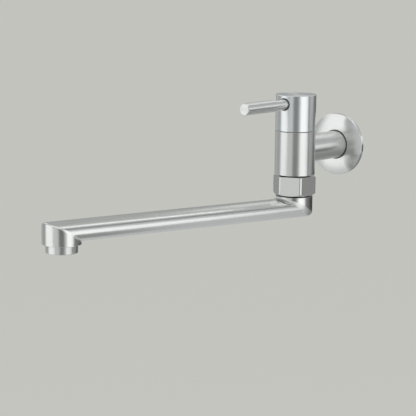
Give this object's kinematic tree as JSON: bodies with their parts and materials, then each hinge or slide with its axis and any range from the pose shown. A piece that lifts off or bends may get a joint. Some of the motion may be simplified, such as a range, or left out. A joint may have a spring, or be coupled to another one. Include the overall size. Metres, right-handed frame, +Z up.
{
  "type": "wall mounted single tap",
  "caption": "Wall mounted cold water tap: round upright body with a turning cap and pin lever, a dished wall flange, a hexagon union nut and a long flattened swivel spout.",
  "frame": {"origin": "on the inlet thread's axis, at the wall's surface", "axes": "+Y into the wall along the inlet thread, +Z up along the upright body, +X to the right as seen by someone who faces the wall"},
  "size_m": [0.1086, 0.3207, 0.1155],
  "materials": {
    "satin_steel": "satin brushed",
    "turned_steel": "fine turned",
    "spring_steel": "plain",
    "brass": "machined",
    "plated_brass": "nickel plated",
    "black_rubber": "smooth",
    "ceramic": "polished ceramic",
    "white_plastic": "moulded"
  },
  "bodies": {
    "fixed_body": {"tap_body": "satin_steel", "inlet_leg": "satin_steel", "wall_flange": "turned_steel", "flange_o_ring": "black_rubber", "cartridge_housing": "brass", "housing_o_ring": "black_rubber", "disc_gasket": "black_rubber", "fixed_disc": "ceramic", "friction_washer": "white_plastic", "glide_ring": "white_plastic", "spout_nut": "turned_steel", "slip_washers": "white_plastic"},
    "handle": {"handle_cap": "satin_steel", "handle_insert": "plated_brass", "lever_rod": "satin_steel", "spindle": "brass", "moving_disc": "ceramic", "spindle_o_rings": "black_rubber", "spindle_clip": "spring_steel"},
    "spout": {"swivel_stem": "turned_steel", "stem_o_rings": "black_rubber", "split_ring": "spring_steel", "spout_riser": "satin_steel", "spout_arm": "satin_steel", "outlet_head": "satin_steel", "aerator_housing": "turned_steel", "aerator_gasket": "black_rubber", "aerator_cartridge": "white_plastic", "aerator_screen": "white_plastic"}
  },
  "joints": [
    {"name": "handle_turn", "type": "hinge", "parent": "fixed_body", "child": "handle", "pos_m": [0, -0.065, 0], "axis": [0, 0, 1], "range_deg": [0, 90]},
    {"name": "spout_swivel", "type": "hinge", "parent": "fixed_body", "child": "spout", "pos_m": [0, -0.065, 0], "axis": [0, 0, 1], "range_deg": [-83.8, 116.2]}
  ]
}
